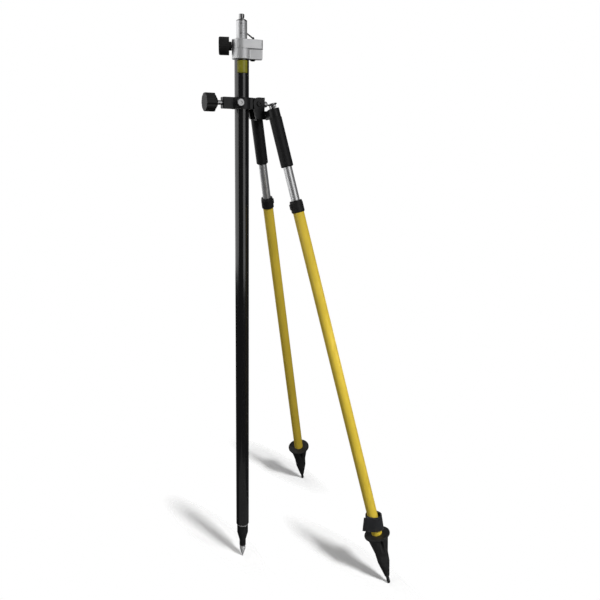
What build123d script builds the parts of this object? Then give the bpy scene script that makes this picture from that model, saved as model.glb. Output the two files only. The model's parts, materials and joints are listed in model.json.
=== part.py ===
from build123d import *
import math
import os

# A survey pole held upright by a clamp-on bipod. Millimetres, +Z up.
# The origin is the pole's point on the ground, and +X lies midway between the two legs.
# The front leg stands on the -Y side of the pole and the rear leg on the +Y side.

# Clearances, radial on round pieces and per face on flat ones
FIT = 0.05              # pieces fixed to each other
RUN = 0.08              # a shaft in the hole that it turns or slides in
GAP = 0.3               # moving pieces that pass each other
CUT = 1.0               # how far a cutting tool reaches past the face that it opens

# Pole tip, from the ground up
POINT_DIA = 15.0
POINT_LEN = 32.5
POINT_FLAT_R = 0.8
POINT_STRAIGHT = 10.0
STUD_DIA = 8.0
STUD_LEN = 45.0
NUT_DIA = 16.3
NUT_LEN = 14.7
NUT_EDGE = 1.0
FERRULE_DIA = 28.0
FERRULE_LEN = 23.0
FERRULE_END_DIA = 15.5
FERRULE_CONE_LEN = 23.5
STEM_DIA = 18.0
STEM_LEN = 30.0
RIM_DIA = 29.0
RIM_LEN = 3.3
INSERT_LEN = 35.0

# Pole tubes
POLE_DIA = 32.0
POLE_WALL = 1.8
POLE_LEN = 1153.0
GUIDE_LEN = 35.0
INNER_DIA = 24.0
INNER_WALL = 2.0
INNER_SHOW = 37.5       # inner tube above the lock head when it is pushed home
INNER_FLOOR = 9.0       # room under the slider when the inner tube is pushed home
SLIDER_LEN = 25.0
SLIDER_PLUG = 30.0
SLIDER_BORE = 10.0
SPIGOT_RIM = 2.0
SPIGOT_CONE = 3.1
SPIGOT_CONE_R = 7.0
SPIGOT_DIA = 12.0
SPIGOT_LEN = 10.2
SPIGOT_EDGE = 1.0
SPIGOT_NECK_DIA = 9.4
SPIGOT_NECK = 3.0
SPIGOT_PLUG = 25.0

# Lock head and lock base, made with the arm along +X and then turned about the pole
HEAD_TURN = -22.0
HEAD_R = 21.4
HEAD_H = 19.0
HEAD_EDGE = 0.8
SEAM_EDGE = 0.6
ARM_REACH = 46.0
ARM_END_WIDTH = 22.4
ARM_ROUND = 5.6
BASE_GRIP = 16.0        # tube inside the base
BASE_ROOF = 5.4         # base above the tube's mouth
BASE_EDGE = 0.8
BLOCK_REACH = 45.2
BLOCK_ROOT_WIDTH = 30.0     # the block's width where its sides would meet the pole's axis
BLOCK_END_WIDTH = 15.4
BLOCK_ROUND = 2.4
BLOCK_BLEND = 5.0       # hollow round between the collar and the block
SEAM = 0.8              # slit between the arm and the block under it
JOIN_SCREW_DIA = 3.0
JOIN_HEAD_DIA = 5.4
JOIN_HEAD_H = 3.0
JOIN_SOCKET = 2.4
JOIN_SINK = 0.6
JOIN_BITE = 10.0
JOIN_X = 26.0
JOIN_Y = 7.6
VIAL_X = 36.4
VIAL_CUP_DIA = 15.0
VIAL_CUP_WALL = 1.4
VIAL_CUP_H = 9.0
VIAL_GLASS_H = 7.0
VIAL_DOME = 2.0
ADJUST_X = 24.0
ADJUST_DIA = 5.0
ADJUST_LEN = 14.0
ADJUST_HEAD_DIA = 12.0
ADJUST_HEAD_H = 3.4
ADJUST_ROUND = 2.8

# Lock screw, opposite the arm
LOCK_RISE = 5.4         # above the joint between head and base
LOCK_DIA = 8.0
LOCK_PAD_LEN = 5.0
LOCK_KNOB_DIA = 38.0
LOCK_KNOB_LEN = 22.2
LOCK_NECK_DIA = 18.5
LOCK_NECK_LEN = 5.6
LOCK_BITE = 14.0        # screw inside the knob
LOCK_FLUTES = 24
LOCK_FLUTE_R = 1.6
LOCK_FLUTE_DEPTH = 0.4
LOCK_EDGE = 2.6

# Pawl that drops against the inner tube
PAWL_X = 25.0
PAWL_TILT = 36.0
PAWL_WIDTH = 5.0
PAWL_THICK = 2.6
PAWL_BARREL_R = 2.0
PAWL_PIN_DIA = 2.0
PAWL_EAR = 1.5
PAWL_EAR_R = 2.4
PAWL_PLATE = 1.2
PAWL_PLATE_LEN = 7.4

# Clamp round the pole
CLAMP_DROP = 93.0       # from the lock base down to the clamp's middle
CLAMP_H = 24.6
RING_R = 23.0
BUSH_WALL = 2.0
BUSH_SLOT = 2.0
LIP_R = 19.8
LIP_H = 1.2
BOSS_WIDTH = 18.0
BOSS_END = 47.0
BOSS_ROUND = 7.0
BOSS_EDGE = 1.5
NECK_WIDTH = 39.0
NECK_GAP = 0.9
TONGUE_WIDTH = 27.8
TONGUE_TAIL = 13.0
TONGUE_ROUND = 4.0
SCREW_DIA = 10.0
SCREW_SHOW = 12.0
SCREW_BITE = 20.0
PAD_LEN = 7.0
KNOB_DIA = 40.0
KNOB_LEN = 22.0
KNOB_CONE_DIA = 20.0
KNOB_CONE_LEN = 6.0
KNOB_FLUTES = 10
KNOB_FLUTE_R = 5.0
KNOB_FLUTE_DEPTH = 1.7
KNOB_EDGE = 1.2
CAP_SCREW_X = -12.0
CAP_SCREW_RISE = 1.0
CAP_SCREW_DIA = 6.0
CAP_SCREW_LEN = 6.0
CAP_HEAD_DIA = 15.8
CAP_HEAD_H = 3.0
CAP_HEAD_EDGE = 1.0
CAP_SOCKET = 6.0
CAP_SOCKET_DEPTH = 1.8
CAP_SEAT = 23.5
CAP_BOSS_R = 8.8

# Swing brackets on the pivot bolt
BOLT_X = 33.0
BOLT_DIA = 8.0
BOLT_HEAD_DIA = 11.5
BOLT_HEAD_H = 3.2
BOLT_SOCKET = 5.0
BOLT_SOCKET_DEPTH = 1.8
BOLT_TAIL = 2.0
TENSION_DIA = 6.0
TENSION_HEAD_DIA = 13.0
TENSION_HEAD_LEN = 15.0
TENSION_ROUND = 3.0
PIVOT_NUT_FLATS = 13.0
PIVOT_NUT_H = 6.0
SIDE_GAP = 0.2          # between the clamp's tongue, the brackets and the bolt's head
BRACKET_THICK = 7.0
BRACKET_R = 13.5
BRACKET_LEAN = 12.4     # the swing at which the plate stands upright
BRACKET_TOE = 6.0       # how far the plate's lower corner stands off the bolt's line
BRACKET_EDGE = 200.0    # where round the bolt the plate's inner edge leaves its round end
PIN_DROP = 28.85        # from the bolt down to the splay pin with the leg folded
PIN_DIA = 8.0
BARREL_R = 8.0
BARREL_LEN = 14.0
EAR_R = 8.8
EAR_THICK = 5.2

# Legs: how far each stands out from the pole and from its neighbour, in degrees
SWING = {"front": 11.6, "rear": 13.2}
SPLAY = {"front": 10.0, "rear": 11.0}
SIDE = {"front": -1, "rear": 1}
LEG_X = 51.5
CAP_DIA = 26.0
CAP_LEN = 19.0
CAP_ROOF = 6.0
CAP_PIN = 9.5           # from the cap's top down to the splay pin
GRIP_DIA = 28.0
GRIP_LEN = 110.0
GRIP_ROUND = 3.0
GRIP_TOP_ROUND = 1.5
UPPER_DIA = 19.8
UPPER_WALL = 1.2
UPPER_LEN = 720.0
LOWER_DIA = 25.4
LOWER_WALL = 1.2
UPPER_SHOW = 76.0       # upper tube between grip and collar on the shorter leg
COLLAR_DIA = 30.0
COLLAR_TOP_DIA = 27.4
COLLAR_LEN = 27.5
COLLAR_TAPER = 6.0
COLLAR_EDGE = 1.6
COLLAR_LIP = 2.0
COLLAR_BUSH_H = 8.0
COLLAR_BUSH_WALL = 2.6
COLLAR_RIB_WIDTH = 7.0
COLLAR_RIB_RISE = 1.8
COLLAR_RIB_LOW = 9.0      # from the collar's foot up to the rib
COLLAR_RIB_LEN = 12.0

# Thumb release
ROD_DIA = 7.0
BUTTON_DIA = 21.0
BUTTON_H = 2.6
BUTTON_ROUND = 0.9
BUTTON_RISE = 9.0
SPRING_WIRE = 1.2
SPRING_R = 7.4
SPRING_TURNS = 3
TURN_SAMPLES = 32       # points on each turn where its gap to the others is measured
SLEEVE_PLUG = 16.0
SLEEVE_LEN = 26.0
SLEEVE_SLOTS = 3
SLEEVE_SLOT = 2.0
SLEEVE_WALL = 2.2
LOCK_CONE_LEN = 16.0
LOCK_CONE_END = 2.0

# Foot, from its step flange down to its tip
FOOT_LEN = 136.0
FOOT_SOCKET = 28.0
FLANGE_DIA = 63.0
FLANGE_H = 4.6
FLANGE_ROUND = 1.4
FLARE_TOP_DIA = 53.0
FLARE_END_DIA = 32.2
FLARE_DROP = 51.0       # from the flange's top to the flare's end
TAPER_DIA = 29.4
TAPER_DROP = 76.0       # from the flange's top to the start of the taper
TAPER_END_DIA = 11.6
FLUTES = 4
FLUTE_R = 4.5
FLUTE_FLOOR = 17.0
FLUTE_TURN = 78.0
TIP_DIA = 8.0
TIP_LEN = 20.5
TIP_BITE = 22.0

# Strap wound round the front leg above the foot
STRAP_RISE = 169.5      # from the foot's tip up the leg to the strap's middle
STRAP_WIDTH = 35.0
STRAP_LEAN = 0.42       # share of the leg's lean that the strap takes
STRAP_THICK = 1.5
STRAP_PITCH = 2.0       # from one layer to the next
STRAP_HALF_TURNS = 4
STRAP_FLAP = 23.5       # loose end, from the middle of the loop's front

# Heights and radii that follow from the sizes above
POLE_R = POLE_DIA / 2
POLE_BORE_R = POLE_R - POLE_WALL
INNER_R = INNER_DIA / 2
INNER_BORE_R = INNER_R - INNER_WALL
NUT_LOW = POINT_LEN
CONE_LOW = NUT_LOW + NUT_LEN
FERRULE_LOW = CONE_LOW + FERRULE_CONE_LEN
RIM_LOW = FERRULE_LOW + FERRULE_LEN
TUBE_LOW = RIM_LOW + RIM_LEN
TUBE_HIGH = TUBE_LOW + POLE_LEN
INNER_LOW = TUBE_LOW + INSERT_LEN + INNER_FLOOR + SLIDER_LEN
BASE_LOW = TUBE_HIGH - BASE_GRIP
HEAD_LOW = TUBE_HIGH + BASE_ROOF
HEAD_HIGH = HEAD_LOW + HEAD_H
INNER_HIGH = HEAD_HIGH + INNER_SHOW
SPIGOT_LOW = INNER_HIGH + SPIGOT_RIM + SPIGOT_CONE
LOCK_Z = HEAD_LOW + LOCK_RISE
CLAMP_Z = BASE_LOW - CLAMP_DROP
PAWL_Z = HEAD_HIGH + PAWL_PLATE + PAWL_BARREL_R + GAP
BUSH_R = POLE_R + RUN + BUSH_WALL
PLATE_IN = TONGUE_WIDTH / 2 + SIDE_GAP
PLATE_OUT = PLATE_IN + BRACKET_THICK
NECK_END = BOLT_X - BRACKET_R - NECK_GAP
PIN_X = LEG_X - BOLT_X
PIN_Y = PLATE_OUT + EAR_R + GAP
LEG_Y = PIN_Y + BARREL_R + CAP_DIA / 2 + GAP
UPPER_BORE_R = UPPER_DIA / 2 - UPPER_WALL
LOWER_BORE_R = LOWER_DIA / 2 - LOWER_WALL


def rod(radius, low, high):
    """Cylinder about Z between two heights."""
    return Pos(0, 0, (low + high) / 2) * Cylinder(radius, high - low)


def pipe(outer, inner, low, high):
    """Tube about Z between two heights."""
    return rod(outer, low, high) - rod(inner, low - CUT, high + CUT)


def bar(x, y, z):
    """Box between two limits on each axis."""
    middle = [(low + high) / 2 for low, high in (x, y, z)]
    size = [high - low for low, high in (x, y, z)]
    return Pos(*middle) * Box(*size)


def turned(*outline):
    """Solid turned about Z from (radius, height) points."""
    return revolve(make_face(Plane.XZ * Polyline(*outline, close=True)), Axis.Z)


def plate(outline, low, high):
    """Outline drawn in X and Z, given a thickness from low to high in Y."""
    return Pos(0, high, 0) * extrude(Plane.XZ * outline, amount=high - low)


def along_x(shape):
    """Turns a piece made along +Z so that it points along +X."""
    return Rot(0, 90, 0) * shape


def along_y(shape):
    """Turns a piece made along +Z so that it points along +Y."""
    return Rot(-90, 0, 0) * shape


def spread(shape, count, start=0.0):
    """Copies of a piece, evenly spaced about Z."""
    return [Rot(0, 0, start + 360 / count * i) * shape for i in range(count)]


def hex_prism(flats, low, high):
    """Hexagonal prism about Z, given its size across flats."""
    outline = RegularPolygon(flats / 2, 6, major_radius=False)
    return Pos(0, 0, low) * extrude(outline, amount=high - low)


def rim(shape, highest):
    """Edges of the top or the bottom face."""
    return shape.faces().sort_by(Axis.Z)[-1 if highest else 0].edges()


# Pole


def steel_point():
    radius = POINT_DIA / 2
    cone = turned((0, 0), (POINT_FLAT_R, 0), (radius, POINT_LEN - POINT_STRAIGHT), (radius, POINT_LEN),
                  (0, POINT_LEN))
    return cone + rod(STUD_DIA / 2, POINT_LEN, POINT_LEN + STUD_LEN)


def tip_nut():
    nut = rod(NUT_DIA / 2, NUT_LOW, CONE_LOW)
    nut = chamfer(rim(nut, True) + rim(nut, False), NUT_EDGE)
    return nut - rod(STUD_DIA / 2 + FIT, NUT_LOW - CUT, CONE_LOW + CUT)


def tip_ferrule():
    stem_top = RIM_LOW + STEM_LEN
    wide, stem = FERRULE_DIA / 2, STEM_DIA / 2
    body = turned((0, CONE_LOW), (FERRULE_END_DIA / 2, CONE_LOW), (wide, FERRULE_LOW), (wide, RIM_LOW),
                  (stem, RIM_LOW), (stem, stem_top), (0, stem_top))
    return body - rod(STUD_DIA / 2 + FIT, CONE_LOW - CUT, POINT_LEN + STUD_LEN + CUT)


def tip_insert():
    body = rod(RIM_DIA / 2, RIM_LOW, TUBE_LOW) + rod(POLE_BORE_R - FIT, TUBE_LOW, TUBE_LOW + INSERT_LEN)
    return body - rod(STEM_DIA / 2 + FIT, RIM_LOW - CUT, TUBE_LOW + INSERT_LEN + CUT)


def pole_tube():
    return pipe(POLE_R, POLE_BORE_R, TUBE_LOW, TUBE_HIGH)


def guide_bush():
    return pipe(POLE_BORE_R - FIT, INNER_R + RUN, TUBE_HIGH - GUIDE_LEN, TUBE_HIGH)


def inner_tube():
    return pipe(INNER_R, INNER_BORE_R, INNER_LOW, INNER_HIGH)


def inner_slider():
    head = rod(POLE_BORE_R - RUN, INNER_LOW - SLIDER_LEN, INNER_LOW)
    plug = rod(INNER_BORE_R - FIT, INNER_LOW, INNER_LOW + SLIDER_PLUG)
    return head + plug - rod(SLIDER_BORE / 2, INNER_LOW - SLIDER_LEN - CUT, INNER_LOW + SLIDER_PLUG + CUT)


def top_spigot():
    shoulder = INNER_HIGH + SPIGOT_RIM
    neck_top = SPIGOT_LOW + SPIGOT_NECK
    top = SPIGOT_LOW + SPIGOT_LEN
    plug_low, plug_r = INNER_HIGH - SPIGOT_PLUG, INNER_BORE_R - FIT
    neck_r, spigot_r = SPIGOT_NECK_DIA / 2, SPIGOT_DIA / 2
    return turned((0, plug_low), (plug_r, plug_low), (plug_r, INNER_HIGH), (INNER_R, INNER_HIGH),
                  (INNER_R, shoulder), (SPIGOT_CONE_R, SPIGOT_LOW), (neck_r, SPIGOT_LOW),
                  (neck_r, neck_top), (spigot_r, neck_top), (spigot_r, top - SPIGOT_EDGE),
                  (spigot_r - SPIGOT_EDGE, top), (0, top))


# Lock head, lock base and what they carry


def join_places():
    return [Pos(JOIN_X, side * JOIN_Y, 0) for side in (-1, 1)]


def lock_base():
    collar = turned((0, BASE_LOW), (HEAD_R - BASE_EDGE, BASE_LOW), (HEAD_R, BASE_LOW + BASE_EDGE),
                    (HEAD_R, HEAD_LOW - SEAM_EDGE), (HEAD_R - SEAM_EDGE, HEAD_LOW), (0, HEAD_LOW))
    root, end = BLOCK_ROOT_WIDTH / 2, BLOCK_END_WIDTH / 2
    outline = make_face(Polyline((0, -root), (BLOCK_REACH, -end), (BLOCK_REACH, end), (0, root), close=True))
    block = Pos(0, 0, BASE_LOW) * extrude(outline, amount=HEAD_LOW - SEAM - BASE_LOW)
    tip = block.faces().sort_by(Axis.X)[-1]
    block = fillet(tip.edges().filter_by(Axis.Z) + tip.edges().sort_by(Axis.Z)[:1], BLOCK_ROUND)
    body = collar + block
    meeting = [e for e in body.edges().filter_by(Axis.Z) if e.center().X < HEAD_R and abs(e.center().Y) > 1]
    body = fillet(meeting, BLOCK_BLEND)
    adjust_hole = rod(ADJUST_DIA / 2 + FIT, BASE_LOW - CUT, BASE_LOW + ADJUST_LEN + FIT)
    bores = [rod(POLE_R + FIT, BASE_LOW - CUT, TUBE_HIGH), Pos(ADJUST_X, 0, 0) * adjust_hole]
    bores.append(rod(INNER_R + GAP, TUBE_HIGH - CUT, HEAD_LOW + CUT))
    screw_hole = rod(JOIN_SCREW_DIA / 2 + FIT, HEAD_LOW - JOIN_BITE - FIT, HEAD_LOW + CUT)
    bores += [place * screw_hole for place in join_places()]
    return body - bores


def lock_head():
    corner_y = ARM_END_WIDTH / 2 - ARM_ROUND
    corners = [Pos(ARM_REACH - ARM_ROUND, side * corner_y) * Circle(ARM_ROUND) for side in (-1, 1)]
    outline = make_hull(Circle(HEAD_R).edges() + [edge for corner in corners for edge in corner.edges()])
    body = Pos(0, 0, HEAD_LOW) * extrude(outline, amount=HEAD_H)
    body = chamfer(rim(body, True), HEAD_EDGE)
    body = chamfer(rim(body, False), SEAM_EDGE)
    bores = [rod(INNER_R + GAP, HEAD_LOW - CUT, HEAD_HIGH + CUT)]
    bores.append(Pos(0, 0, LOCK_Z) * along_x(rod(LOCK_DIA / 2 + RUN, -HEAD_R - CUT, 0)))
    bores.append(Pos(VIAL_X, 0, 0) * rod(VIAL_CUP_DIA / 2 + FIT, HEAD_HIGH - VIAL_CUP_H, HEAD_HIGH + CUT))
    screw_hole = rod(JOIN_SCREW_DIA / 2 + FIT, HEAD_LOW - CUT, HEAD_HIGH)
    head_hole = rod(JOIN_HEAD_DIA / 2 + FIT, HEAD_HIGH - JOIN_SINK - JOIN_HEAD_H, HEAD_HIGH + CUT)
    bores += [place * hole for place in join_places() for hole in (screw_hole, head_hole)]
    return body - bores


def join_screws():
    head_low = HEAD_HIGH - JOIN_SINK - JOIN_HEAD_H
    head = rod(JOIN_HEAD_DIA / 2, head_low, head_low + JOIN_HEAD_H)
    socket = hex_prism(JOIN_SOCKET, head_low + JOIN_HEAD_H / 2, head_low + JOIN_HEAD_H + CUT)
    screw = head + rod(JOIN_SCREW_DIA / 2, HEAD_LOW - JOIN_BITE, head_low) - socket
    return Part() + [place * screw for place in join_places()]


def vial_cup():
    floor = HEAD_HIGH - VIAL_CUP_H
    cup = rod(VIAL_CUP_DIA / 2, floor, HEAD_HIGH)
    well = rod(VIAL_CUP_DIA / 2 - VIAL_CUP_WALL, floor + VIAL_CUP_WALL, HEAD_HIGH + CUT)
    return Pos(VIAL_X, 0, 0) * (cup - well)


def vial_glass():
    floor = HEAD_HIGH - VIAL_CUP_H + VIAL_CUP_WALL
    glass = rod(VIAL_CUP_DIA / 2 - VIAL_CUP_WALL - FIT, floor, floor + VIAL_GLASS_H)
    return Pos(VIAL_X, 0, 0) * fillet(rim(glass, True), VIAL_DOME)


def adjust_screw():
    head = rod(ADJUST_HEAD_DIA / 2, BASE_LOW - ADJUST_HEAD_H, BASE_LOW)
    head = fillet(rim(head, False), ADJUST_ROUND)
    return Pos(ADJUST_X, 0, 0) * (head + rod(ADJUST_DIA / 2, BASE_LOW, BASE_LOW + ADJUST_LEN))


def fluted_knob(dia, length, neck, edge, flutes, flute_r, flute_depth):
    """Hand knob along +Z. The neck gives its two diameters and its length, and starts at zero."""
    neck_dia, neck_end_dia, neck_len = neck
    body = rod(dia / 2, neck_len, neck_len + length)
    body = fillet(rim(body, True), edge)
    groove = rod(flute_r, neck_len - CUT, neck_len + length + CUT)
    body -= spread(Pos(dia / 2 + flute_r - flute_depth, 0, 0) * groove, flutes)
    return body + turned((0, 0), (neck_dia / 2, 0), (neck_end_dia / 2, neck_len), (0, neck_len))


def lock_pad():
    pad = along_x(rod(LOCK_DIA / 2, -INNER_R - LOCK_PAD_LEN, 0))
    return Pos(0, 0, LOCK_Z) * (pad - rod(INNER_R + RUN, -LOCK_DIA, LOCK_DIA))


def lock_knob():
    neck = (LOCK_NECK_DIA, LOCK_NECK_DIA, LOCK_NECK_LEN)
    flutes = (LOCK_FLUTES, LOCK_FLUTE_R, LOCK_FLUTE_DEPTH)
    knob = fluted_knob(LOCK_KNOB_DIA, LOCK_KNOB_LEN, neck, LOCK_EDGE, *flutes)
    knob -= rod(LOCK_DIA / 2 + FIT, -CUT, LOCK_BITE + FIT)
    return Pos(-HEAD_R - GAP, 0, LOCK_Z) * Rot(0, -90, 0) * knob


def lock_screw():
    screw = rod(LOCK_DIA / 2, -HEAD_R - GAP - LOCK_BITE, -INNER_R - LOCK_PAD_LEN - RUN)
    return Pos(0, 0, LOCK_Z) * along_x(screw)


def pawl_ear_y():
    inner = PAWL_WIDTH / 2 + SIDE_GAP
    return inner, inner + PAWL_EAR


def pawl_base():
    inner, outer = pawl_ear_y()
    top = HEAD_HIGH + PAWL_PLATE
    half = PAWL_PLATE_LEN / 2
    base = bar((PAWL_X - half, PAWL_X + half), (-outer, outer), (HEAD_HIGH, top))
    ear = Pos(PAWL_X, PAWL_Z) * Circle(PAWL_EAR_R)
    ear += Pos(PAWL_X, (PAWL_Z + top) / 2) * Rectangle(2 * PAWL_EAR_R, PAWL_Z - top)
    base += plate(ear, -outer, -inner) + plate(ear, inner, outer)
    return base - Pos(PAWL_X, 0, PAWL_Z) * along_y(rod(PAWL_PIN_DIA / 2 + FIT, -outer - CUT, outer + CUT))


def pawl_pin():
    outer = pawl_ear_y()[1]
    return Pos(PAWL_X, 0, PAWL_Z) * along_y(rod(PAWL_PIN_DIA / 2, -outer, outer))


def height_pawl():
    half = PAWL_WIDTH / 2
    barrel = along_y(rod(PAWL_BARREL_R, -half, half))
    blade = Rot(0, PAWL_TILT, 0) * bar((-PAWL_X, 0), (-half, half), (-PAWL_THICK / 2, PAWL_THICK / 2))
    pawl = barrel + blade - along_y(rod(PAWL_PIN_DIA / 2 + RUN, -half - CUT, half + CUT))
    return Pos(PAWL_X, 0, PAWL_Z) * pawl - rod(INNER_R + GAP, HEAD_HIGH, INNER_HIGH)


# Clamp, made about the pole at its own middle height


def clamp_bush():
    half = CLAMP_H / 2
    outline = ((POLE_R + RUN, -half), (LIP_R, -half), (LIP_R, LIP_H - half), (BUSH_R, LIP_H - half),
               (BUSH_R, half - LIP_H), (LIP_R, half - LIP_H), (LIP_R, half), (POLE_R + RUN, half))
    slot = bar((0, LIP_R + CUT), (-BUSH_SLOT / 2, BUSH_SLOT / 2), (-half - CUT, half + CUT))
    return turned(*outline) - slot


def clamp_body():
    half = CLAMP_H / 2
    tall = (-half, half)
    boss = bar((-BOSS_END, 0), (-BOSS_WIDTH / 2, BOSS_WIDTH / 2), tall)
    boss = chamfer(boss.faces().sort_by(Axis.X)[0].edges(), BOSS_EDGE)
    body = rod(RING_R, *tall) + boss
    inside = (e for e in body.edges().filter_by(Axis.Z) if -RING_R < e.center().X < 0)
    body = fillet(list(inside), BOSS_ROUND)
    tongue = bar((0, BOLT_X + TONGUE_TAIL), (-TONGUE_WIDTH / 2, TONGUE_WIDTH / 2), tall)
    tongue = fillet(tongue.faces().sort_by(Axis.X)[-1].edges().filter_by(Axis.Z), TONGUE_ROUND)
    body += bar((0, NECK_END), (-NECK_WIDTH / 2, NECK_WIDTH / 2), tall) + tongue
    body += Pos(CAP_SCREW_X, 0, CAP_SCREW_RISE) * along_y(rod(CAP_BOSS_R, -CAP_SEAT, -POLE_R))
    lip = LIP_H + RUN
    bores = [rod(BUSH_R + RUN, -half - CUT, half + CUT)]
    bores += [rod(LIP_R + RUN, half - lip, half + CUT), rod(LIP_R + RUN, -half - CUT, lip - half)]
    bores.append(along_x(rod(SCREW_DIA / 2 + RUN, -BOSS_END - CUT, 0)))
    bores.append(Pos(BOLT_X, 0, 0) * along_y(rod(BOLT_DIA / 2 + FIT, -TONGUE_WIDTH, TONGUE_WIDTH)))
    bores.append(along_x(rod(TENSION_DIA / 2 + FIT, BOLT_X, BOLT_X + TONGUE_TAIL + CUT)))
    screw_hole = rod(CAP_SCREW_DIA / 2 + FIT, -CAP_SEAT - CUT, CAP_SCREW_LEN - CAP_SEAT + FIT)
    bores.append(Pos(CAP_SCREW_X, 0, CAP_SCREW_RISE) * along_y(screw_hole))
    return body - bores


def ring_screw():
    head = fillet(rim(rod(CAP_HEAD_DIA / 2, 0, CAP_HEAD_H), True), CAP_HEAD_EDGE)
    head -= hex_prism(CAP_SOCKET, CAP_HEAD_H - CAP_SOCKET_DEPTH, CAP_HEAD_H + CUT)
    screw = head + rod(CAP_SCREW_DIA / 2, -CAP_SCREW_LEN, 0)
    return Pos(CAP_SCREW_X, -CAP_SEAT, CAP_SCREW_RISE) * Rot(90, 0, 0) * screw


def tension_screw():
    """Bears on the pivot bolt from the tongue's end."""
    tail = BOLT_X + TONGUE_TAIL
    head = rod(TENSION_HEAD_DIA / 2, tail, tail + TENSION_HEAD_LEN)
    head = fillet(rim(head, True), TENSION_ROUND)
    return along_x(head + rod(TENSION_DIA / 2, BOLT_X + BOLT_DIA / 2 + FIT, tail))


def clamp_pad():
    pad = along_x(rod(SCREW_DIA / 2, -BUSH_R - PAD_LEN, 0))
    return pad - rod(BUSH_R + RUN, -SCREW_DIA, SCREW_DIA)


def clamp_screw():
    return along_x(rod(SCREW_DIA / 2, -BOSS_END - SCREW_SHOW - SCREW_BITE, -BUSH_R - PAD_LEN - RUN))


def clamp_knob():
    neck = (KNOB_CONE_DIA, KNOB_DIA - 2 * KNOB_FLUTE_DEPTH, KNOB_CONE_LEN)
    flutes = (KNOB_FLUTES, KNOB_FLUTE_R, KNOB_FLUTE_DEPTH)
    knob = fluted_knob(KNOB_DIA, KNOB_LEN, neck, KNOB_EDGE, *flutes)
    knob -= rod(SCREW_DIA / 2 + FIT, -CUT, SCREW_BITE + FIT)
    return Pos(-BOSS_END - SCREW_SHOW, 0, 0) * Rot(0, -90, 0) * knob


def pivot_bolt():
    seat = PLATE_OUT + SIDE_GAP
    head = fillet(rim(rod(BOLT_HEAD_DIA / 2, 0, BOLT_HEAD_H), True), CAP_HEAD_EDGE)
    head -= hex_prism(BOLT_SOCKET, BOLT_HEAD_H - BOLT_SOCKET_DEPTH, BOLT_HEAD_H + CUT)
    shank = rod(BOLT_DIA / 2, -2 * seat - PIVOT_NUT_H - BOLT_TAIL, 0)
    return Pos(BOLT_X, -seat, 0) * Rot(90, 0, 0) * (head + shank)


def pivot_nut():
    seat = PLATE_OUT + SIDE_GAP
    nut = hex_prism(PIVOT_NUT_FLATS, seat, seat + PIVOT_NUT_H)
    return Pos(BOLT_X, 0, 0) * along_y(nut - rod(BOLT_DIA / 2 + FIT, seat - CUT, seat + PIVOT_NUT_H + CUT))


# Leg pieces. A bracket is made about the bolt, with its leg folded and on the -Y side.
# The upper pieces are made with the cap's top at zero, and the lower ones with the tip at zero.


def swing_bracket():
    lean = math.radians(BRACKET_LEAN)
    pin_x = PIN_X * math.cos(lean) + PIN_DROP * math.sin(lean)
    pin_z = PIN_X * math.sin(lean) - PIN_DROP * math.cos(lean)
    low, right = pin_z - EAR_R, pin_x + BARREL_LEN / 2
    shoulder = pin_z + EAR_R
    edge = math.radians(BRACKET_EDGE)
    outline = Circle(BRACKET_R) + Pos(BRACKET_R / 2, BRACKET_R / 2) * Rectangle(BRACKET_R, BRACKET_R)
    outline += make_face(Polyline(
        (0, 0), (BRACKET_R * math.cos(edge), BRACKET_R * math.sin(edge)), (-BRACKET_TOE, low), (right, low),
        (right, shoulder), (BRACKET_R, shoulder), (BRACKET_R, 0), close=True))
    body = plate(Rot(0, 0, -BRACKET_LEAN) * outline, -PLATE_OUT, -PLATE_IN)
    web = (PIN_X - BARREL_LEN / 2, PIN_X + BARREL_LEN / 2)
    body += bar(web, (-PIN_Y, -PLATE_OUT), (-PIN_DROP - BARREL_R, -PIN_DROP + BARREL_R))
    body += Pos(0, -PIN_Y, -PIN_DROP) * along_x(rod(BARREL_R, *web))
    bores = [along_y(rod(BOLT_DIA / 2 + RUN, -PLATE_OUT - CUT, -PLATE_IN + CUT))]
    bores.append(Pos(0, -PIN_Y, -PIN_DROP) * along_x(rod(PIN_DIA / 2 + RUN, web[0] - CUT, web[1] + CUT)))
    return body - bores


def pin_place():
    """Splay pin as the cap sees it, inboard of the leg along +Y."""
    return Pos(0, LEG_Y - PIN_Y, -CAP_PIN)


def ear_x():
    inner = BARREL_LEN / 2 + SIDE_GAP
    return inner, inner + EAR_THICK


def splay_pin():
    return pin_place() * along_x(rod(PIN_DIA / 2, -ear_x()[1], ear_x()[1]))


def leg_cap():
    inner, outer = ear_x()
    ear = pin_place() * along_x(rod(EAR_R, inner, outer))
    ear += bar((inner, outer), (0, LEG_Y - PIN_Y), (-CAP_PIN - EAR_R, -CAP_PIN + EAR_R))
    body = rod(CAP_DIA / 2, -CAP_LEN, 0) + ear + mirror(ear, about=Plane.YZ)
    bores = [rod(UPPER_DIA / 2 + FIT, -CAP_LEN - CUT, -CAP_ROOF), rod(ROD_DIA / 2 + RUN, -CAP_LEN, CUT)]
    bores.append(pin_place() * along_x(rod(PIN_DIA / 2 + FIT, -outer - CUT, outer + CUT)))
    return body - bores


def leg_grip():
    low = -CAP_LEN - GRIP_LEN
    grip = rod(GRIP_DIA / 2, low, -CAP_LEN)
    grip = fillet(rim(grip, False), GRIP_ROUND)
    grip = fillet(rim(grip, True), GRIP_TOP_ROUND)
    return grip - rod(UPPER_DIA / 2 + FIT, low - CUT, CUT)


def upper_tube():
    return pipe(UPPER_DIA / 2, UPPER_BORE_R, -CAP_ROOF - UPPER_LEN, -CAP_ROOF)


def lock_cone_outline(gap):
    """Cone on the push rod, and with a gap the seat that it draws into."""
    top = -CAP_ROOF - UPPER_LEN - SLEEVE_LEN + LOCK_CONE_LEN
    wide = LOWER_BORE_R - RUN - SLEEVE_WALL - GAP + gap
    return top, ROD_DIA / 2 + gap, wide


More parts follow.
